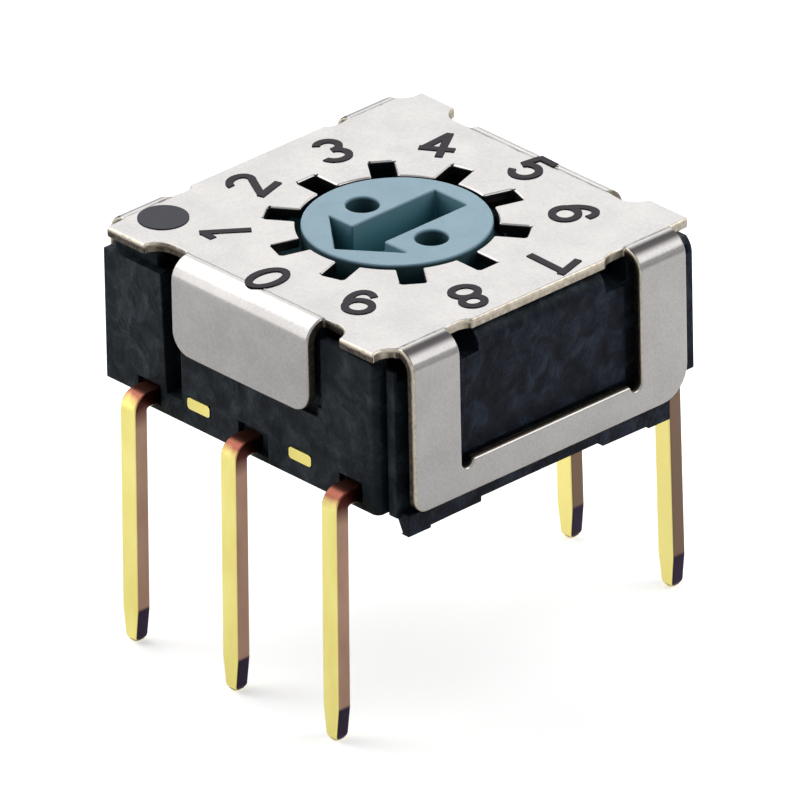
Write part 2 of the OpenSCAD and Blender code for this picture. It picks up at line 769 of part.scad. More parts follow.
module base() {
    color([0.14, 0.15, 0.17]) difference() {
        base_solid();
        // upper side edges
        for (turn = [90, 270]) rotate([0, 0, turn]) translate([0, -side, body_top])
            rotate([0, 0, 180]) round_off(edge_r, body_y + 1);
        // cavity: seal and flange above, brush below
        translate([0, 0, step_z]) cylinder(r = cavity_r, h = body_top);
        translate([0, 0, track_top]) cylinder(r = drum_r + run_gap, h = body_top);
        for (turn = [0, 180]) rotate([0, 0, turn]) {
            for (x = [-pitch, pitch]) translate([x, 0, 0]) pin_pocket(0);
            pin_pocket(0.18);
            end_grooves();
        }
        // room for the tabs' bends
        for (turn = [0, 180]) rotate([0, 0, turn]) translate([0, post_face, body_top])
            round_off(cover_t, 2 * tab_half + 0.1);
        corner_cut(front_cut);
        rotate([0, 0, 180]) corner_cut(rear_cut);
        all_terminals();
    }
}

base();
cover();
dial_digits();
index_dot();
rotor();
click_spring();
seal_ring();
contact_brush();
terminal_1();
terminal_2();
terminal_4();
terminal_8();
terminal_common();
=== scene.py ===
import math
import bmesh
import bpy
from mathutils import Vector, Matrix


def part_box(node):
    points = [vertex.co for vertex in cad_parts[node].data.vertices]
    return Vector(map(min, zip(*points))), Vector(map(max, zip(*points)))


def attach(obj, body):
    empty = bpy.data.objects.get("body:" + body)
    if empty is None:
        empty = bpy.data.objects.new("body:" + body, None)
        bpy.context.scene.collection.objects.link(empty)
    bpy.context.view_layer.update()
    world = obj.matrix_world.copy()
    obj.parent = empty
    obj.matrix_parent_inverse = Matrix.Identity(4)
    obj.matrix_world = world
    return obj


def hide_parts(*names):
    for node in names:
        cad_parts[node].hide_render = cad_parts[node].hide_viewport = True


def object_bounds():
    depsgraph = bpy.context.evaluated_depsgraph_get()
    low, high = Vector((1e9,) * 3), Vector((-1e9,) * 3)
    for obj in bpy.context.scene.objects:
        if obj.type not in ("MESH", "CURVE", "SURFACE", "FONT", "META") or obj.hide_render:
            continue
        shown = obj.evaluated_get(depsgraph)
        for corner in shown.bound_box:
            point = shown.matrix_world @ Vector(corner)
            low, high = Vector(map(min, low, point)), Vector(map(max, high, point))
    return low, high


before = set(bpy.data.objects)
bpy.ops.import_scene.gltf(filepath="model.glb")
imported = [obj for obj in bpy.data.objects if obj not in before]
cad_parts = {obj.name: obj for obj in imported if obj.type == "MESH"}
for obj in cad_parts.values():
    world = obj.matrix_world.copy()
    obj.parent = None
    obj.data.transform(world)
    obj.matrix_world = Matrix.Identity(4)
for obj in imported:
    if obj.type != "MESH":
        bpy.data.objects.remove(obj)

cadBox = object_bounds()
mm = 0.001
near = 0.001                            # millimetres within which a point counts as on a line
merge = {"copied": 0.0002, "drawn": 0.001, "cut": 0.002}    # millimetres, corners that become one
flat = 0.5                              # degrees, faces that meet flatter become one
edgeSteps = 3                           # segments of a rounded edge
cornerSteps = 8                         # and of an outline's rounded corner
usual = (0.3, 0.7)                      # a noise mostly stays between these


def clearSelection():
    if bpy.context.mode != 'OBJECT':
        bpy.ops.object.mode_set(mode='OBJECT')
    bpy.ops.object.select_all(action='DESELECT')


def makeActive(piece):
    clearSelection()
    piece.select_set(True)
    bpy.context.view_layer.objects.active = piece


def editAll(piece):
    makeActive(piece)
    bpy.ops.object.mode_set(mode='EDIT')
    bpy.ops.mesh.select_all(action='SELECT')


def applyPlace(piece):
    makeActive(piece)
    bpy.ops.object.transform_apply(location=True, rotation=True, scale=True)


def plainCopy(nodeName, pieceName):
    # the node's own shape as a new piece; the node stays for the mechanics
    piece = bpy.data.objects.new(pieceName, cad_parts[nodeName].data.copy())
    piece.data.name = pieceName
    bpy.context.scene.collection.objects.link(piece)
    editAll(piece)
    bpy.ops.mesh.remove_doubles(threshold=merge["copied"] * mm)
    bpy.ops.mesh.dissolve_limited(angle_limit=math.radians(flat))
    bpy.ops.object.mode_set(mode='OBJECT')
    return piece


def pickEdges(piece, ends, whole=None):
    # in edit mode: selects the edges whose two ends pass, places in millimetres
    bpy.ops.mesh.select_mode(type='EDGE')
    bpy.ops.mesh.select_all(action='DESELECT')
    mesh = bmesh.from_edit_mesh(piece.data)
    for edge in mesh.edges:
        a, b = (corner.co / mm for corner in edge.verts)
        if ends(a) and ends(b) and (whole is None or whole(a, b)):
            edge.select_set(True)
    bmesh.update_edit_mesh(piece.data)


def roundCorners(piece, radius, test):
    # in edit mode: rounds the flat corners that pass
    bpy.ops.mesh.select_mode(type='VERT')
    bpy.ops.mesh.select_all(action='DESELECT')
    mesh = bmesh.from_edit_mesh(piece.data)
    for corner in mesh.verts:
        if test(corner.co / mm):
            corner.select_set(True)
    bmesh.update_edit_mesh(piece.data)
    bpy.ops.mesh.bevel(offset=radius * mm, segments=cornerSteps, affect='VERTICES')


def arcPoints(centre, radius, start, end, steps):
    # points on an arc, from and to angles in degrees
    turns = [math.radians(start + (end - start) * i / steps) for i in range(steps + 1)]
    return [(centre[0] + radius * math.cos(t), centre[1] + radius * math.sin(t)) for t in turns]


def flatOutline(name, corners, height):
    # one flat face through the corners, all in millimetres
    clearSelection()
    bpy.ops.mesh.primitive_circle_add(vertices=len(corners), radius=mm, fill_type='NGON')
    piece = bpy.context.object
    piece.name = piece.data.name = name
    for vertex, (x, y) in zip(piece.data.vertices, corners):
        vertex.co = (x * mm, y * mm, height * mm)
    return piece


def raisedOutline(corners, height, thick):
    # a closed block from an outline
    piece = flatOutline("cutter", corners, height)
    editAll(piece)
    extrude(0, 0, thick)
    bpy.ops.mesh.select_all(action='SELECT')
    bpy.ops.mesh.normals_make_consistent(inside=False)
    bpy.ops.object.mode_set(mode='OBJECT')
    return piece


def extrude(x, y, z):
    # in edit mode: draws out what is selected, in millimetres
    bpy.ops.mesh.extrude_region_move(TRANSFORM_OT_translate={"value": (x * mm, y * mm, z * mm)})


def smoothFaces(piece, angle):
    # the flat faces keep their normals while they're whole, then everything gets few-sided faces;
    # done with millimetres as metres, since the weighting passes over the smallest areas
    piece.scale = (1 / mm,) * 3
    applyPlace(piece)
    bpy.ops.object.shade_smooth_by_angle(angle=math.radians(angle))
    even = piece.modifiers.new("evenFaces", 'WEIGHTED_NORMAL')
    even.keep_sharp = True
    even.use_face_influence = True
    bpy.ops.object.modifier_apply(modifier=even.name)
    cut = piece.modifiers.new("threeSided", 'TRIANGULATE')
    cut.min_vertices = 5
    cut.keep_custom_normals = True
    bpy.ops.object.modifier_apply(modifier=cut.name)
    piece.scale = (mm,) * 3
    applyPlace(piece)


def roundEdges(piece, edge):
    makeActive(piece)
    bevel = piece.modifiers.new("roundedEdges", 'BEVEL')
    bevel.width = edge["radius"] * mm
    bevel.segments = edgeSteps
    bevel.limit_method = 'ANGLE'
    bevel.angle_limit = math.radians(edge["from"])
    bevel.miter_outer = 'MITER_ARC'
    bevel.use_clamp_overlap = False
    bevel.face_strength_mode = 'FSTR_ALL'
    bpy.ops.object.modifier_apply(modifier=bevel.name)
    smoothFaces(piece, edge["smooth"])


def cutAway(piece, cutter, slotNumber=0):
    # the new walls get the material of that slot
    for face in cutter.data.polygons:
        face.material_index = slotNumber
    makeActive(piece)
    cut = piece.modifiers.new("cut", 'BOOLEAN')
    cut.operation = 'DIFFERENCE'
    cut.solver = 'EXACT'
    cut.object = cutter
    bpy.ops.object.modifier_apply(modifier=cut.name)
    bpy.data.objects.remove(cutter)


def hand(piece, body, material, node):
    # gives a finished piece its material and its body, and hides the node that it stands for
    if material:
        piece.data.materials.clear()
        piece.data.materials.append(material)
    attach(piece, body)
    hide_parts(node)


def dress(nodeName, material):
    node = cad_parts[nodeName]
    if not node.material_slots:
        node.data.materials.append(material)
    for place in node.material_slots:
        place.material = material


def newMaterial(name):
    material = bpy.data.materials.new(name)
    material.use_nodes = True
    tree = material.node_tree
    surface = tree.nodes["Principled BSDF"]
    coords = tree.nodes.new('ShaderNodeTexCoord')
    return material, tree, surface, coords.outputs["Object"]


def noise(tree, coords, size, detail=3.0, rough=0.55, output="Fac"):
    # a noise whose patches are about size millimetres across
    texture = tree.nodes.new('ShaderNodeTexNoise')
    texture.inputs["Scale"].default_value = 1 / (size * mm)
    texture.inputs["Detail"].default_value = detail
    texture.inputs["Roughness"].default_value = rough
    tree.links.new(coords, texture.inputs["Vector"])
    return texture.outputs[output]


def ramp(tree, source, stops):
    node = tree.nodes.new('ShaderNodeValToRGB')
    band = node.color_ramp
    while len(band.elements) < len(stops):
        band.elements.new(0.5)
    for element, (place, colour) in zip(band.elements, stops):
        element.position = place
        element.color = (*colour, 1)
    tree.links.new(source, node.inputs["Fac"])
    return node.outputs["Color"]


def span(tree, source, low, high, toLow=0.0, toHigh=1.0):
    node = tree.nodes.new('ShaderNodeMapRange')
    limits = {"From Min": low, "From Max": high, "To Min": toLow, "To Max": toHigh}
    for name, value in limits.items():
        node.inputs[name].default_value = value
    tree.links.new(source, node.inputs["Value"])
    return node.outputs["Result"]


def spanMm(tree, source, limits, toLow=0.0, toHigh=1.0):
    # the same for a place or a distance, with its limits in millimetres
    return span(tree, source, limits[0] * mm, limits[1] * mm, toLow, toHigh)


def sums(tree, kind, first, second=0.0):
    node = tree.nodes.new('ShaderNodeMath')
    node.operation = kind
    for place, value in enumerate((first, second)):
        if isinstance(value, (int, float)):
            node.inputs[place].default_value = value
        else:
            tree.links.new(value, node.inputs[place])
    return node.outputs["Value"]


def times(tree, first, second):
    return sums(tree, 'MULTIPLY', first, second)


def minus(tree, first, second):
    return sums(tree, 'SUBTRACT', first, second)


def unsigned(tree, value):
    return sums(tree, 'ABSOLUTE', value)


def distance(tree, *parts):
    # how far a point lies from the middle, from its places along two or three axes
    total = times(tree, parts[0], parts[0])
    for part in parts[1:]:
        total = sums(tree, 'ADD', total, times(tree, part, part))
    return sums(tree, 'SQRT', total)


def blendColour(tree, amount, first, second):
    node = tree.nodes.new('ShaderNodeMix')
    node.data_type = 'RGBA'
    for place, value in ((0, amount), (6, first), (7, second)):
        if isinstance(value, (int, float)):
            node.inputs[place].default_value = value
        elif isinstance(value, tuple):
            node.inputs[place].default_value = (*value, 1)
        else:
            tree.links.new(value, node.inputs[place])
    return node.outputs[2]


def axisPart(tree, coords, axis):
    node = tree.nodes.new('ShaderNodeSeparateXYZ')
    tree.links.new(coords, node.inputs["Vector"])
    return node.outputs[axis]


def facingSides(tree, low, high):
    # 1 on the faces that look along X, 0 on the others
    normals = tree.nodes.new('ShaderNodeTexCoord').outputs["Normal"]
    return span(tree, unsigned(tree, axisPart(tree, normals, "X")), low, high)


def bump(tree, surface, heights, depth):
    # depth in millimetres of relief
    node = tree.nodes.new('ShaderNodeBump')
    node.inputs["Strength"].default_value = 1.0
    node.inputs["Distance"].default_value = depth * mm
    tree.links.new(heights, node.inputs["Height"])
    tree.links.new(node.outputs["Normal"], surface.inputs["Normal"])


camera = {
    "azimuth": 47.51, "elevation": 27.69, "roll": -1.17,
    "distance": 0.45,                   # metres, far off as for a long lens
    "film": 36,                         # millimetres
    "nearest": 0.05,                    # metres
    "parts": 800,                       # the view's width is counted as so many parts
    "scale": 58.20,                     # parts for each millimetre of the switch
    "aim": (0.0, 0.0, 2.21),            # millimetres
    "offset": (1.50, -109.83),          # parts from the aim to the view's middle
}


def lookBack(azimuth, elevation):
    # from the middle towards an eye or a lamp, angles in degrees
    a, e = math.radians(azimuth), math.radians(elevation)
    return Vector((math.sin(a) * math.cos(e), -math.cos(a) * math.cos(e), math.sin(e)))


def makeCamera():
    back = lookBack(camera["azimuth"], camera["elevation"])
    roll = Matrix.Rotation(math.radians(camera["roll"]), 3, 'Z')
    turn = back.to_track_quat('Z', 'Y').to_matrix() @ roll
    partsPerMetre = camera["scale"] / mm
    across, up = camera["offset"]
    target = Vector(camera["aim"]) * mm + turn @ Vector((across, up, 0)) / partsPerMetre
    data = bpy.data.cameras.new("camera")
    data.sensor_width = camera["film"]
    data.lens = camera["film"] * camera["distance"] * partsPerMetre / camera["parts"]
    data.clip_start = camera["nearest"]
    eye = bpy.data.objects.new("camera", data)
    bpy.context.scene.collection.objects.link(eye)
    eye.matrix_world = Matrix.Translation(target + back * camera["distance"]) @ turn.to_4x4()
    bpy.context.scene.camera = eye


studio = {
    "worldLight": 0.14,
    "floorTone": 0.78,
    "floorLift": 0.53,                  # what the eye sees on top of the floor's own light
    "floorSide": 600,                   # millimetres, as is the gap
    "floorGap": 0.01,
    # azimuth, elevation, distance mm, size mm, strength in watts, and whether it hangs level
    "lamps": {
        "keyLamp": (-80, 46, 90, 84, 0.064, False),
        "frontLamp": (-48, 17, 90, 60, 0.0205, False),
        "backLamp": (222, 28, 80, 58, 0.0165, False),
        "fillLamp": (160, 42, 100, 80, 0.022, False),
        "floorLamp": (132.5, 31, 33, 30, 0.0050, True),
    },
}


def addLamp(name, azimuth, elevation, away, size, power, level):
    back = lookBack(azimuth, elevation)
    data = bpy.data.lights.new(name, 'AREA')
    data.shape = 'SQUARE'
    data.size = size * mm
    data.energy = power
    lamp = bpy.data.objects.new(name, data)
    bpy.context.scene.collection.objects.link(lamp)
    lamp.location = back * away * mm
    if not level:
        lamp.rotation_mode = 'QUATERNION'
        lamp.rotation_quaternion = back.to_track_quat('Z', 'Y')


def seenRays(tree):
    # 1 for what the eye sees, straight on, mirrored or through something clear
    rays = tree.nodes.new('ShaderNodeLightPath')
    seen = sums(tree, 'MAXIMUM', rays.outputs["Is Camera Ray"], rays.outputs["Is Glossy Ray"])
    return sums(tree, 'MAXIMUM', seen, rays.outputs["Is Transmission Ray"])


def mixShaders(tree, amount, first, second):
    mix = tree.nodes.new('ShaderNodeMixShader')
    for place, output in enumerate((amount, first, second)):
        tree.links.new(output, mix.inputs[place])
    return mix.outputs[0]


def makeWorld():
    world = bpy.data.worlds.new("studio")
    bpy.context.scene.world = world
    world.use_nodes = True
    tree = world.node_tree
    soft = tree.nodes["Background"]
    white = tree.nodes.new('ShaderNodeBackground')
    for shader, strength in ((soft, studio["worldLight"]), (white, 1.0)):
        shader.inputs["Color"].default_value = (1, 1, 1, 1)
        shader.inputs["Strength"].default_value = strength
    both = mixShaders(tree, seenRays(tree), soft.outputs[0], white.outputs[0])
    tree.links.new(both, tree.nodes["World Output"].inputs["Surface"])


def makeFloor():
    clearSelection()
    height = cadBox[0].z - studio["floorGap"] * mm
    bpy.ops.mesh.primitive_plane_add(size=studio["floorSide"] * mm, location=(0, 0, height))
    floor = bpy.context.object
    floor.name = "studioFloor"
    material, tree, surface = newMaterial("studioFloor")[:3]
    tree.nodes.remove(surface)
    paint = tree.nodes.new('ShaderNodeBsdfDiffuse')
    tone = studio["floorTone"]
    paint.inputs["Color"].default_value = (tone, tone, tone, 1)
    lift = tree.nodes.new('ShaderNodeEmission')
    glow = times(tree, seenRays(tree), studio["floorLift"])
    tree.links.new(glow, lift.inputs["Strength"])
    both = tree.nodes.new('ShaderNodeAddShader')
    tree.links.new(paint.outputs[0], both.inputs[0])
    tree.links.new(lift.outputs[0], both.inputs[1])
    # seen from below, the floor lets the view through
    clear = tree.nodes.new('ShaderNodeBsdfTransparent')
    below = tree.nodes.new('ShaderNodeNewGeometry').outputs["Backfacing"]
    shown = mixShaders(tree, below, both.outputs[0], clear.outputs[0])
    tree.links.new(shown, tree.nodes["Material Output"].inputs["Surface"])
    floor.data.materials.append(material)


bpy.context.scene.view_settings.view_transform = 'Standard'
makeCamera()
makeWorld()
for name, values in studio["lamps"].items():
    addLamp(name, *values)
makeFloor()
print("camera and studio ready")


cover = {
    # millimetres
    "sheet": 0.20,
    "bend": 0.40,                       # outer radius of the bends
    "bendSteps": 6,
    "tab": {"half": 1.72, "low": 1.77, "corner": 0.42},
    "strap": {"half": 3.20, "window": 2.11, "bar": 0.61, "nearCorner": 0.26, "farCorner": 0.60},
    "plate": {"lip": 3.65, "windowEdge": 3.55, "cornerEdge": 3.41},
    "notch": {"tab": 0.36, "leg": 0.31, "corner": 0.31},
    "notchSteps": {"tab": 8, "leg": 4, "corner": 7},
    "cornerEnd": 130,                   # degrees, where a corner's notch meets the leg
    "windowRelief": 0.13,
    "reliefSteps": 24,
    "opening": {"radius": 1.75, "slots": 10, "slotHalf": 0.22, "slotEnd": 2.30, "arcSteps": 6},
    "edge": {"radius": 0.045, "from": 35, "smooth": 40},    # the last two in degrees
    "steel": {
        "patch": 0.9, "grain": 0.05, "wander": 0.3,
        "tones": [(0.38, (0.262, 0.254, 0.249)), (0.62, (0.314, 0.304, 0.297))],
        "roughness": (0.17, 0.24),
        # painted shade along the crease where each bend starts
        "creaseAndShade": (0.075, 0.068, 0.062),
        "creaseFades": (0.008, 0.034),  # from and to, beside the bend line
        "creaseDepth": (0.03, 0.01),    # below the plate's top, where it begins and is full
        "creasePast": 0.02,             # how far it runs on beyond a tab's sides
        "creaseStrength": (0.35, 1.0),
        "endFade": 0.01,                # width over which creases and band stop
        # painted dark reflection over the legs' bends: its tone, where it starts and ends, and its
        # strength
        "darkReflectionTone": (0.022, 0.018, 0.020),
        "bandStarts": (3.48, 3.58), "bandEnds": (3.66, 3.77), "bandStrength": 0.88,
        "relief": 0.008, "grainShare": 0.03,
    },
    "sheared": {
        "grain": 0.10, "uneven": 0.10,
        "rim": (0.045, 0.085),          # depth at which the bright rim begins and ends to fade
        "torn": [(0.35, (0.020, 0.018, 0.017)), (0.68, (0.085, 0.068, 0.050))],
        "bright": [(0.3, (0.30, 0.265, 0.21)), (0.65, (0.50, 0.45, 0.37))],
        "sideLight": 0.75,              # painted light: how much of the rim's tone the sideways edges have
        "sideFrom": (0.75, 0.95),
        "tabReach": (1.9, 2.0),         # the tabs' bends count up to here, along X
        # painted shade in the relief notches: where they lie, and the share of light left there
        "notchX": (2.30, 2.42), "notchY": (3.20, 3.30), "notchLight": 0.28,
        "openingReach": (2.36, 2.40),   # painted shade: the walls within this distance of the middle are darkened to black
        "openingShade": (0.022, 0.022, 0.024),
        "roughness": 0.45,
        "relief": 0.006,
    },
}


def steelSheet():
    look, tab, strap = cover["steel"], cover["tab"], cover["strap"]
    fade = look["endFade"]
    material, tree, surface, coords = newMaterial("stainlessSheet")
    patches = noise(tree, coords, look["patch"], detail=4)
    grain = noise(tree, coords, look["grain"])
    mottle = sums(tree, 'ADD', times(tree, patches, 0.5), times(tree, grain, 0.5))
    tone = ramp(tree, mottle, look["tones"])
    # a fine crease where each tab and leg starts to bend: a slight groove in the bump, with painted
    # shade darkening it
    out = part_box("cover")[1]
    x, y = (unsigned(tree, axisPart(tree, coords, axis)) for axis in "XY")
    creases = []
    for along, across, line, start, end in (
            (x, y, out.y - cover["bend"] * mm, -1.0, tab["half"] + look["creasePast"]),
            (y, x, out.x - cover["bend"] * mm, strap["window"] - fade, strap["half"])):
        off = unsigned(tree, minus(tree, across, line))
        part = times(tree, spanMm(tree, off, look["creaseFades"], 1.0, 0.0),
                     spanMm(tree, along, (end, end + fade), 1.0, 0.0))
        creases.append(times(tree, part, spanMm(tree, along, (start - fade, start))))
    begins, full = (out.z - depth * mm for depth in look["creaseDepth"])
    onTop = span(tree, axisPart(tree, coords, "Z"), begins, full)
    wander = span(tree, noise(tree, coords, look["wander"]), *usual, *look["creaseStrength"])
    creaseAndShade = times(tree, times(tree, sums(tree, 'MAXIMUM', *creases), onTop), wander)
    # a painted dark reflection in a band over the legs' bends
    band = times(tree, spanMm(tree, x, look["bandStarts"]),
                 spanMm(tree, x, look["bandEnds"], 1.0, 0.0))
    legs = (strap["window"] - 2 * fade, strap["window"] - fade)
    band = times(tree, band, spanMm(tree, y, legs, 0.0, look["bandStrength"]))
    tone = blendColour(tree, creaseAndShade, tone, look["creaseAndShade"])
    tone = blendColour(tree, band, tone, look["darkReflectionTone"])
    tree.links.new(tone, surface.inputs["Base Color"])
    surface.inputs["Metallic"].default_value = 1.0
    tree.links.new(span(tree, grain, *usual, *look["roughness"]), surface.inputs["Roughness"])
    heights = minus(tree, times(tree, grain, look["grainShare"]), creaseAndShade)
    bump(tree, surface, heights, look["relief"])
    return material


def cutSteel():
    # sheared edges of the sheet: a bright rim by the outer face and a dark torn band behind it,
    # painted light on the edges that face the sides, and painted shade, black, round the dial's
    # opening
    look, bend = cover["sheared"], cover["bend"]
    material, tree, surface, coords = newMaterial("shearedEdge")
    grain = noise(tree, coords, look["grain"], rough=0.5)
    x, y = (unsigned(tree, axisPart(tree, coords, axis)) for axis in "XY")
    height = axisPart(tree, coords, "Z")
    # depth below the outer face, round the bends too
    pastX, pastY, pastTop = (
        sums(tree, 'MAXIMUM', minus(tree, part, limit - bend * mm), 0.0)
        for part, limit in zip((x, y, height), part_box("cover")[1]))
    pastY = times(tree, pastY, spanMm(tree, x, look["tabReach"], 1.0, 0.0))
    depth = minus(tree, bend * mm, distance(tree, pastX, pastY, pastTop))
    uneven = times(tree, minus(tree, grain, 0.5), look["uneven"] * mm)
    depth = sums(tree, 'ADD', depth, uneven)
    rim = spanMm(tree, depth, look["rim"], 1.0, 0.0)
    # painted light on the edges that face along X
    sideways = times(tree, facingSides(tree, *look["sideFrom"]), look["sideLight"])
    light = sums(tree, 'MAXIMUM', rim, sideways)
    # painted shade in the relief notches beside the tabs
    notch = times(tree, spanMm(tree, x, look["notchX"], 1.0, 0.0),
                  spanMm(tree, y, look["notchY"]))
    light = times(tree, light, span(tree, notch, 0.0, 1.0, 1.0, look["notchLight"]))
    tone = blendColour(tree, light, ramp(tree, grain, look["torn"]),
                       ramp(tree, grain, look["bright"]))
    # painted shade, black, on the walls round the dial's opening
    opening = spanMm(tree, distance(tree, x, y), look["openingReach"], 1.0, 0.0)
    tone = blendColour(tree, opening, tone, look["openingShade"])
    tree.links.new(tone, surface.inputs["Base Color"])
    surface.inputs["Metallic"].default_value = 1.0
    surface.inputs["Roughness"].default_value = look["roughness"]
    bump(tree, surface, grain, look["relief"])
    return material


def plateOutline(bendX, bendY):
    # half of the flat plate's outline from one tab to the other, then the same turned round
    tab, strap, plate = cover["tab"], cover["strap"], cover["plate"]
    notch, steps = cover["notch"], cover["notchSteps"]
    tabNotch = (tab["half"] + notch["tab"], -bendY - notch["tab"])
    legNotch = (bendX + notch["leg"], -strap["window"] + notch["leg"])
    corner = (bendX + notch["corner"] / 2, -strap["half"] - notch["corner"])
    lipTurn = math.degrees(math.asin((-plate["lip"] - tabNotch[1]) / notch["tab"]))
    cornerTurn = 180 - math.degrees(math.asin((-plate["lip"] - corner[1]) / notch["corner"]))
    edgeTurn = math.degrees(math.acos((plate["windowEdge"] - legNotch[0]) / notch["leg"]))
    half = [(tab["half"], -bendY)]
    half += arcPoints(tabNotch, notch["tab"], 90, lipTurn, steps["tab"])
    half += arcPoints(corner, notch["corner"], cornerTurn, cover["cornerEnd"], steps["corner"])
    half += [(bendX, -strap["half"]), (bendX, -strap["window"])]
    half += arcPoints(legNotch, notch["leg"], 180, edgeTurn, steps["leg"])
    half += arcPoints((legNotch[0], -legNotch[1]), notch["leg"], -edgeTurn, -180, steps["leg"])
    half += [(bendX, strap["window"]), (bendX, strap["half"])]
    half += [(plate["cornerEdge"], plate["lip"])]
    half += arcPoints((tabNotch[0], -tabNotch[1]), notch["tab"], -lipTurn, -90, steps["tab"])
    half += [(tab["half"], bendY)]
    return half + [(-x, -y) for x, y in half]


def openingOutline():
    # the round opening with its slots, one slot and the arc after it at a time
    size = cover["opening"]
    step = 360 / size["slots"]
    side = math.degrees(math.asin(size["slotHalf"] / size["radius"]))
    points = []
    for number in range(size["slots"]):
        start = number * step
        turn = math.radians(start)
        for across in (-size["slotHalf"], size["slotHalf"]):
            points.append((size["slotEnd"] * math.cos(turn) - across * math.sin(turn),
                           size["slotEnd"] * math.sin(turn) + across * math.cos(turn)))
        points += arcPoints((0, 0), size["radius"], start + side, start + step - side,
                            size["arcSteps"])
    return points


def foldDown(axis, centre):
    # turns the selected edge down round a bend
    bpy.ops.mesh.spin(steps=cover["bendSteps"], angle=math.radians(90), axis=axis,
                      center=[place * mm for place in centre])


def makeCover():
    # the plate is drawn flat, its tabs and legs are turned down, then the sheet gets its thickness
    outX, outY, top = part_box("cover")[1] / mm
    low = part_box("cover")[0].z / mm
    tab, strap, sheetThick = cover["tab"], cover["strap"], cover["sheet"]
    bendX, bendY, under = (out - cover["bend"] for out in (outX, outY, top))
    piece = flatOutline("pressedCover", plateOutline(bendX, bendY), top)
    piece.data.materials.append(steelSheet())
    piece.data.materials.append(cutSteel())
    makeActive(piece)
    bpy.ops.object.mode_set(mode='EDIT')
    for side in (-1, 1):
        pickEdges(piece, lambda p: abs(p.y - side * bendY) < near
                  and abs(p.x) < tab["half"] + near)
        foldDown((side, 0, 0), (0, side * bendY, under))
        extrude(0, 0, tab["low"] - under)
        for leg in (-1, 1):
            pickEdges(piece, lambda p: abs(p.x - side * bendX) < near
                      and strap["window"] - near < leg * p.y < strap["half"] + near)
            foldDown((0, -side, 0), (side * bendX, 0, under))
            extrude(0, 0, low + strap["bar"] - under)
            extrude(0, 0, -strap["bar"])
        # the crossbar joins the two legs
        pickEdges(piece, lambda p: abs(p.x - side * outX) < near
                  and p.z < low + strap["bar"] + near
                  and abs(abs(p.y) - strap["window"]) < near)
        bpy.ops.mesh.bridge_edge_loops()
        for leg, corner in ((-side, strap["nearCorner"]), (side, strap["farCorner"])):
            roundCorners(piece, corner, lambda p: abs(p.x - side * outX) < near
                         and abs(p.y - leg * strap["half"]) < near and p.z < low + near)
    roundCorners(piece, tab["corner"], lambda p: p.z < tab["low"] + near
                 and abs(abs(p.y) - outY) < near and abs(abs(p.x) - tab["half"]) < near)
    bpy.ops.mesh.select_all(action='SELECT')
    bpy.ops.mesh.remove_doubles(threshold=merge["drawn"] * mm)
    bpy.ops.mesh.dissolve_limited(angle_limit=math.radians(flat))
    bpy.ops.mesh.normals_make_consistent(inside=False)
    bpy.ops.object.mode_set(mode='OBJECT')
    if sum(face.normal.z * face.area for face in piece.data.polygons) < 0:
        piece.data.flip_normals()
    sheet = piece.modifiers.new("sheet", 'SOLIDIFY')
    sheet.thickness = sheetThick * mm
    sheet.offset = -1
    sheet.use_even_offset = True
    sheet.material_offset_rim = 1
    bpy.ops.object.modifier_apply(modifier=sheet.name)

    cutAway(piece, raisedOutline(openingOutline(), top - 2 * sheetThick, 3 * sheetThick), 1)
    relief = cover["windowRelief"]
    for side in (-1, 1):
        for end in (-1, 1):
            place = (side * outX, end * (strap["window"] - relief), low + strap["bar"])
            bpy.ops.mesh.primitive_cylinder_add(
                vertices=cover["reliefSteps"], radius=relief * mm, depth=mm,
                rotation=(0, math.radians(90), 0), location=[part * mm for part in place])
            cutAway(piece, bpy.context.object, 1)
    editAll(piece)
    bpy.ops.mesh.remove_doubles(threshold=merge["cut"] * mm)
    bpy.ops.mesh.dissolve_limited(angle_limit=math.radians(flat), delimit={'MATERIAL'})
    bpy.ops.object.mode_set(mode='OBJECT')
    roundEdges(piece, cover["edge"])
    return piece


pressedCover = makeCover()
hand(pressedCover, "housing", None, "cover")
print("cover ready")


printing = {
    "digits": (0.020, 0.016, 0.022),
    "dot": (0.050, 0.050, 0.062),
    "thin": 0.75,                       # share of the tone where the ink lies thin
    "speckle": 0.05,                    # millimetres
    "roughness": 0.6,
    "gloss": 0.1,
}


def printInk(name, tone):
    material, tree, surface, coords = newMaterial(name)
    speckle = noise(tree, coords, printing["speckle"])
    thin = tuple(part * printing["thin"] for part in tone)
    spots = ramp(tree, speckle, list(zip(usual, (thin, tone))))
    tree.links.new(spots, surface.inputs["Base Color"])
    surface.inputs["Roughness"].default_value = printing["roughness"]
    surface.inputs["Specular IOR Level"].default_value = printing["gloss"]
    return material


dress("dial_digits", printInk("dialInk", printing["digits"]))
dress("index_dot", printInk("dotInk", printing["dot"]))
print("printing ready")


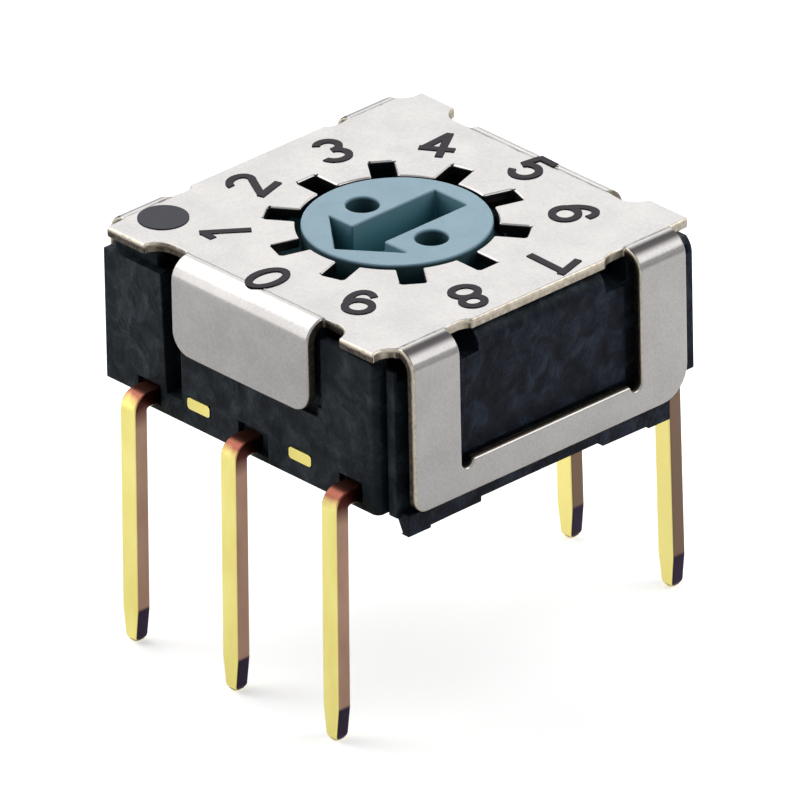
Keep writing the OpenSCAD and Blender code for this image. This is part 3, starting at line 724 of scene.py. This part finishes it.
pins = {
    # millimetres
    "width": 0.40,
    "thick": 0.30,
    "pitch": 2.54,
    "row": 3.90,                        # from the middle to a pin's middle at the body
    "top": 0.74,                        # height of a pin's upper face as it leaves the body
    "start": 3.30,                      # where it begins, behind the end face
    "bend": 0.34,                       # outer radius
    "bendSteps": 7,
    "lean": 0.8,                        # degrees outwards
    # length still to go, width and thickness at each step of the blunt tip
    "tip": [(0.62, 0.40, 0.30), (0.11, 0.285, 0.29), (0.03, 0.235, 0.25), (0.0, 0.15, 0.17)],
    "edge": {"radius": 0.045, "from": 30, "smooth": 50},
    # the box that takes a node's own pin away, then the tie bar's end and its rounded corners
    "plainPin": {"place": (5.35, -2.0), "size": (0.8, 4, 8)},
    "tieBar": {"place": 1.28, "from": 3.5, "wide": 0.3, "corner": 0.06, "steps": 3},
    # node, then each of its pins as place along the row and side
    "places": {"terminal_1": [(-1, -1)], "terminal_2": [(1, -1)], "terminal_4": [(1, 1)],
               "terminal_8": [(-1, 1)], "terminal_common": [(0, -1), (0, 1)]},
    "plating": {
        "patch": 0.5, "stretch": (1, 1, 0.4), "waver": 0.3,
        "gold": [(0.3, (0.66, 0.57, 0.165)), (0.7, (0.74, 0.67, 0.24))],
        "copper": [(0.3, (0.262, 0.153, 0.109)), (0.7, (0.351, 0.219, 0.157))],
        "farLitGold": (0.82, 0.72, 0.25), "farShadedCopper": (0.135, 0.088, 0.062), "farFrom": (-1, 1),
        "nearBodyShade": (0.18, 0.060, 0.040), "nearBodyShadeFrom": (0.45, 0.66),
        "nearBodySideShade": (0.06, 0.012, 0.010), "nearBodySideShadeFrom": (0.12, 0.5),
        "cut": (0.022, 0.013, 0.030), "cutBelow": (-3.42, -3.36),
        "brightTie": (0.36, 0.40),      # beyond this distance from a tie bar's middle the painted shade begins
        "sideFrom": (0.6, 0.85),
        "roughness": (0.3, 0.42),
    },
}


def goldPlate():
    # bright plating on the broad faces, worn to copper on the narrow sides, with painted shade and
    # dark reflection of the body at the bends and near the body, painted light and shade on the far
    # row, and dark where the pins were cut off
    look = pins["plating"]
    material, tree, surface, coords = newMaterial("goldPlate")
    mapping = tree.nodes.new('ShaderNodeMapping')
    mapping.inputs["Scale"].default_value = look["stretch"]
    tree.links.new(coords, mapping.inputs["Vector"])
    patches = noise(tree, mapping.outputs["Vector"], look["patch"], rough=0.5)
    gold, copper = (ramp(tree, patches, look[metal]) for metal in ("gold", "copper"))
    x, y, height = (axisPart(tree, coords, axis) for axis in "XYZ")
    waver = times(tree, minus(tree, patches, 0.5), look["waver"] * mm)
    uneven = sums(tree, 'ADD', height, waver)
    # the tie bars' cut ends between the pins stay bright, without the painted shade
    fromTie = unsigned(tree, minus(tree, unsigned(tree, x), pins["tieBar"]["place"] * mm))
    # painted shade and dark reflection of the body, near the body and over the bends
    nearBodyShade = times(tree, spanMm(tree, uneven, look["nearBodyShadeFrom"]),
                  spanMm(tree, fromTie, look["brightTie"]))
    # painted light and shade: the far row's faces are painted brighter and its sides darker
    farRow = spanMm(tree, y, look["farFrom"])
    gold = blendColour(tree, farRow, gold, look["farLitGold"])
    copper = blendColour(tree, farRow, copper, look["farShadedCopper"])
    gold = blendColour(tree, nearBodyShade, gold, look["nearBodyShade"])
    # painted shade and dark reflection of the body on the narrow sides, near the body
    copper = blendColour(tree, spanMm(tree, uneven, look["nearBodySideShadeFrom"]), copper, look["nearBodySideShade"])
    cut = spanMm(tree, height, look["cutBelow"], 1.0, 0.0)
    copper = blendColour(tree, cut, copper, look["cut"])
    both = blendColour(tree, facingSides(tree, *look["sideFrom"]), gold, copper)
    tree.links.new(both, surface.inputs["Base Color"])
    surface.inputs["Metallic"].default_value = 1.0
    tree.links.new(span(tree, patches, *usual, *look["roughness"]), surface.inputs["Roughness"])
    return material


def makePin():
    # drawn from a flat end out of the body, round the bend, down and in to the tip
    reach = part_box("terminal_common")[0].z / mm
    width, thick, bend = pins["width"], pins["thick"], pins["bend"]
    lean = math.radians(pins["lean"])
    bendZ = pins["top"] - bend
    # the box gives the pin's outermost point, at the tip
    length = (bendZ - reach) / math.cos(lean)
    bendY = pins["row"] + thick / 2 - bend
    clearSelection()
    bpy.ops.mesh.primitive_plane_add(
        size=mm, rotation=(math.radians(90), 0, 0),
        location=(0, -pins["start"] * mm, (pins["top"] - thick / 2) * mm))
    piece = bpy.context.object
    piece.name = piece.data.name = "pinBlank"
    piece.scale = (width, thick, 1)
    applyPlace(piece)
    editAll(piece)
    extrude(0, pins["start"] - bendY, 0)
    bpy.ops.mesh.spin(steps=pins["bendSteps"], angle=math.radians(90) - lean, axis=(-1, 0, 0),
                      center=(0, -bendY * mm, bendZ * mm))
    down = Vector((0, -math.sin(lean), -math.cos(lean)))
    inner = bend - thick / 2
    middle = Vector((0, -bendY - inner * math.cos(lean), bendZ + inner * math.sin(lean)))
    gone, nowWide, nowThick = 0.0, width, thick
    for left, wide, deep in pins["tip"]:
        step = length - left - gone
        extrude(*(down * step))
        gone += step
        bpy.ops.transform.resize(value=(wide / nowWide, deep / nowThick, 1),
                                 center_override=tuple((middle + down * gone) * mm))
        nowWide, nowThick = wide, deep
    bpy.ops.mesh.select_all(action='SELECT')
    bpy.ops.mesh.remove_doubles(threshold=merge["drawn"] * mm)
    bpy.ops.mesh.normals_make_consistent(inside=False)
    bpy.ops.object.mode_set(mode='OBJECT')
    roundEdges(piece, pins["edge"])
    return piece


def makeTerminal(node, pieceName, blank):
    # the tracks inside keep the node's shape, the pins outside are the drawn ones
    piece = plainCopy(node, pieceName)
    plain, tie = pins["plainPin"], pins["tieBar"]
    for place, side in pins["places"][node]:
        out, height = plain["place"]
        bpy.ops.mesh.primitive_cube_add(
            size=mm, location=(place * pins["pitch"] * mm, side * out * mm, height * mm))
        away = bpy.context.object
        away.scale = plain["size"]
        applyPlace(away)
        cutAway(piece, away)
    # the tie bar's end has rounded corners
    makeActive(piece)
    bpy.ops.object.mode_set(mode='EDIT')
    pickEdges(piece, lambda p: True, lambda a, b: max(abs(a.y), abs(b.y)) > tie["from"]
              and abs(a.y - b.y) > tie["wide"])
    bpy.ops.mesh.bevel(offset=tie["corner"] * mm, segments=tie["steps"], affect='EDGES')
    bpy.ops.object.mode_set(mode='OBJECT')
    drawn = []
    for place, side in pins["places"][node]:
        one = bpy.data.objects.new("pin", blank.data.copy())
        bpy.context.scene.collection.objects.link(one)
        one.location.x = place * pins["pitch"] * mm
        if side > 0:
            one.rotation_euler.z = math.pi
        applyPlace(one)
        drawn.append(one)
    makeActive(piece)
    for one in drawn:
        one.select_set(True)
    bpy.ops.object.join()
    return piece


gold = goldPlate()
blank = makePin()
for node in pins["places"]:
    terminal = makeTerminal(node, "platedPin_" + node.split("_")[1], blank)
    hand(terminal, "housing", gold, node)
bpy.data.objects.remove(blank)
dress("contact_brush", gold)
print("terminals ready")


moulding = {
    "radius": 0.022,                    # millimetres, as are the next two
    "longEnough": 0.15,                 # shorter edges stay sharp
    "roomBeside": 0.05,                 # and so does an edge with a shorter one than this beside it
    "steps": 2,
    "from": 45,                         # degrees between the faces
    "smooth": 40,
    "black": {
        "warp": 0.6, "warpBy": 0.5,     # millimetres, as are patches, specks and relief
        "patch": 0.42, "speck": 0.035, "relief": 0.06, "speckShare": 0.08,
        "tones": [(0.36, (0.0032, 0.0056, 0.0080)), (0.5, (0.0078, 0.0124, 0.0166)),
                  (0.66, (0.024, 0.034, 0.044))],
        "blockFrom": (3.56, 3.60),      # where the blocks in the windows begin, along X
        # painted shade on the blocks in the windows
        "blockShadeTones": [(0.38, (0.0012, 0.0022, 0.0054)), (0.5, (0.0030, 0.0052, 0.0124)),
                       (0.66, (0.012, 0.019, 0.036))],
        "roughFrom": (0.35, 0.65), "roughness": (0.62, 0.44),
        "gloss": 0.09,
    },
}


def blackMoulding():
    # blotches and fine specks as filled plastic shows them, with painted shade, darker and bluer,
    # on the blocks in the windows
    look = moulding["black"]
    material, tree, surface, coords = newMaterial("blackMoulding")
    swirl = noise(tree, coords, look["warp"], detail=1, rough=0.5, output="Color")
    warp = tree.nodes.new('ShaderNodeVectorMath')
    warp.operation = 'MULTIPLY_ADD'
    tree.links.new(swirl, warp.inputs[0])
    warp.inputs[1].default_value = (look["warpBy"] * mm,) * 3
    tree.links.new(coords, warp.inputs[2])
    patches = noise(tree, warp.outputs[0], look["patch"], detail=4, rough=0.62)
    specks = noise(tree, coords, look["speck"], detail=2)
    blockShade = spanMm(tree, unsigned(tree, axisPart(tree, coords, "X")), look["blockFrom"])
    tone = blendColour(tree, blockShade, ramp(tree, patches, look["tones"]),
                       ramp(tree, patches, look["blockShadeTones"]))
    tree.links.new(tone, surface.inputs["Base Color"])
    surface.inputs["Specular IOR Level"].default_value = look["gloss"]
    rough = span(tree, patches, *look["roughFrom"], *look["roughness"])
    tree.links.new(rough, surface.inputs["Roughness"])
    heights = sums(tree, 'ADD', patches, times(tree, specks, look["speckShare"]))
    bump(tree, surface, heights, look["relief"])
    return material


def makeHousing():
    # the node's shape with its long outer edges rounded; its small steps stay as they are
    piece = plainCopy("base", "mouldedBase")
    bpy.ops.object.mode_set(mode='EDIT')
    bpy.ops.mesh.select_mode(type='EDGE')
    bpy.ops.mesh.select_all(action='DESELECT')
    mesh = bmesh.from_edit_mesh(piece.data)
    room = {corner: min(edge.calc_length() for edge in corner.link_edges) / mm
            for corner in mesh.verts}
    for edge in mesh.edges:
        if (edge.calc_length() / mm > moulding["longEnough"]
                and edge.calc_face_angle_signed(0) > math.radians(moulding["from"])
                and min(room[corner] for corner in edge.verts) > moulding["roomBeside"]):
            edge.select_set(True)
    bmesh.update_edit_mesh(piece.data)
    bpy.ops.mesh.bevel(offset=moulding["radius"] * mm, segments=moulding["steps"],
                       affect='EDGES', face_strength_mode='ALL')
    bpy.ops.object.mode_set(mode='OBJECT')
    smoothFaces(piece, moulding["smooth"])
    return piece


mouldedBase = makeHousing()
hand(mouldedBase, "housing", blackMoulding(), "base")
print("housing ready")


dial = {
    "steps": 96,
    # height and radius of each turned step in millimetres, from the drum's foot to the face
    "turned": [(1.30, 2.05), (1.89, 2.05), (1.89, 1.86), (2.47, 1.86), (2.47, 2.40),
               (2.87, 2.40), (2.87, 1.66), (3.55, 1.66)],
    "arrow": {"shaft": 0.40, "tail": 1.27, "neck": 0.68, "half": 0.98, "tip": 1.46, "deep": 0.75},
    "pit": {"radius": 0.295, "place": 0.87, "deep": 0.50, "steps": 40},
    # the spring's windows: degrees, then half width, radii, middle height and height
    "window": {"turn": 72, "half": 0.37, "inner": 1.92, "outer": 2.30, "middle": 2.9, "tall": 0.6},
    "edge": {"radius": 0.035, "from": 35, "smooth": 40},
    "blueGrey": {
        "patch": 0.5, "grain": 0.06, "relief": 0.003,
        "face": [(0.3, (0.152, 0.268, 0.338)), (0.7, (0.180, 0.303, 0.373))],
        "faceFrom": (0.06, 0.03),       # below the top, where the face's tone begins and is full
        # painted shade below the face, darker with depth
        "deepFrom": (0.8, 0.03),
        "deep": [(0.0, (0.026, 0.112, 0.142)), (0.6, (0.085, 0.22, 0.262)),
                 (0.95, (0.15, 0.29, 0.34))],
        # painted shade in the pits
        "pit": (0.008, 0.030, 0.040), "pitStrength": 0.75, "pitFade": (0.01, 0.02),
        "foot": (0.006, 0.022, 0.028), "footFrom": (1.58, 1.62), "footStrength": 0.7,
        "roughness": (0.36, 0.48),
        "gloss": 0.35,
    },
}


def rotorMoulding():
    look, pit = dial["blueGrey"], dial["pit"]
    material, tree, surface, coords = newMaterial("blueGreyMoulding")
    patches = noise(tree, coords, look["patch"], detail=4)
    grain = noise(tree, coords, look["grain"])
    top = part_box("rotor")[1].z
    below = minus(tree, axisPart(tree, coords, "Z"), top)
    # painted shade: the tone darkens with depth below the face
    deepLow, deepHigh = look["deepFrom"]
    deep = ramp(tree, spanMm(tree, below, (-deepLow, -deepHigh)), look["deep"])
    # painted shade in the two pits, darker than in the arrow
    x = unsigned(tree, axisPart(tree, coords, "X"))
    y = axisPart(tree, coords, "Y")
    fromPit = distance(tree, minus(tree, x, pit["place"] * mm), y)
    rim = [pit["radius"] + part for part in look["pitFade"]]
    inPit = spanMm(tree, fromPit, rim, look["pitStrength"], 0.0)
    deep = blendColour(tree, inPit, deep, look["pit"])
    # and painted deep shade on the drum's foot, seen through the cover's slots
    outside = spanMm(tree, distance(tree, x, y), look["footFrom"], 0.0, look["footStrength"])
    deep = blendColour(tree, outside, deep, look["foot"])
    faceLow, faceHigh = look["faceFrom"]
    level = spanMm(tree, below, (-faceLow, -faceHigh))
    tone = blendColour(tree, level, deep, ramp(tree, patches, look["face"]))
    tree.links.new(tone, surface.inputs["Base Color"])
    surface.inputs["Specular IOR Level"].default_value = look["gloss"]
    tree.links.new(span(tree, grain, *usual, *look["roughness"]), surface.inputs["Roughness"])
    bump(tree, surface, grain, look["relief"])
    return material


def makeDial():
    # turned step by step from a disc, then cut like the moulding's own cavities
    clearSelection()
    height, radius = dial["turned"][0]
    bpy.ops.mesh.primitive_circle_add(vertices=dial["steps"], radius=radius * mm,
                                      fill_type='NGON', location=(0, 0, height * mm))
    piece = bpy.context.object
    piece.name = piece.data.name = "turningDial"
    applyPlace(piece)
    editAll(piece)
    for nextHeight, nextRadius in dial["turned"][1:]:
        extrude(0, 0, nextHeight - height)
        grow = nextRadius / radius
        if grow != 1:
            bpy.ops.transform.resize(value=(grow, grow, 1),
                                     center_override=(0, 0, nextHeight * mm))
        height, radius = nextHeight, nextRadius
    bpy.ops.mesh.select_all(action='SELECT')
    bpy.ops.mesh.normals_make_consistent(inside=False)
    bpy.ops.object.mode_set(mode='OBJECT')
    face = height

    arrow = dial["arrow"]
    shaft, neck, half = arrow["shaft"], arrow["neck"], arrow["half"]
    outline = [(-shaft, arrow["tail"]), (-shaft, -neck), (-half, -neck), (0, -arrow["tip"]),
               (half, -neck), (shaft, -neck), (shaft, arrow["tail"])]
    cutAway(piece, raisedOutline(outline, face - arrow["deep"], 2 * arrow["deep"]))

    pit, window = dial["pit"], dial["window"]
    for side in (-1, 1):
        bpy.ops.mesh.primitive_cylinder_add(
            vertices=pit["steps"], radius=pit["radius"] * mm, depth=2 * pit["deep"] * mm,
            location=(side * pit["place"] * mm, 0, face * mm))
        cutAway(piece, bpy.context.object)
        out = side * (window["inner"] + window["outer"]) / 2
        bpy.ops.mesh.primitive_cube_add(size=mm, location=(out * mm, 0, window["middle"] * mm))
        cutter = bpy.context.object
        cutter.scale = (window["outer"] - window["inner"], 2 * window["half"], window["tall"])
        applyPlace(cutter)
        cutter.rotation_euler.z = math.radians(window["turn"])
        applyPlace(cutter)
        cutAway(piece, cutter)
    roundEdges(piece, dial["edge"])
    return piece


turningDial = makeDial()
hand(turningDial, "dial", rotorMoulding(), "rotor")
print("dial ready")


inside = {
    "spring": {"patch": 0.2, "tones": [(0.3, (0.20, 0.17, 0.14)), (0.7, (0.34, 0.30, 0.26))],
               "roughness": 0.4, "relief": 0.01},
    "seal": {"patch": 0.2, "tones": [(0.3, (0.006, 0.006, 0.006)), (0.7, (0.012, 0.012, 0.013))],
             "roughness": 0.7},
}


def springSheet():
    look = inside["spring"]
    material, tree, surface, coords = newMaterial("springSheet")
    patches = noise(tree, coords, look["patch"], detail=4)
    tree.links.new(ramp(tree, patches, look["tones"]), surface.inputs["Base Color"])
    surface.inputs["Metallic"].default_value = 1.0
    surface.inputs["Roughness"].default_value = look["roughness"]
    bump(tree, surface, patches, look["relief"])
    return material


def sealRubber():
    look = inside["seal"]
    material, tree, surface, coords = newMaterial("sealRubber")
    patches = noise(tree, coords, look["patch"])
    tree.links.new(ramp(tree, patches, look["tones"]), surface.inputs["Base Color"])
    surface.inputs["Roughness"].default_value = look["roughness"]
    return material


dress("click_spring", springSheet())
dress("seal_ring", sealRubber())
print("spring and seal ready")
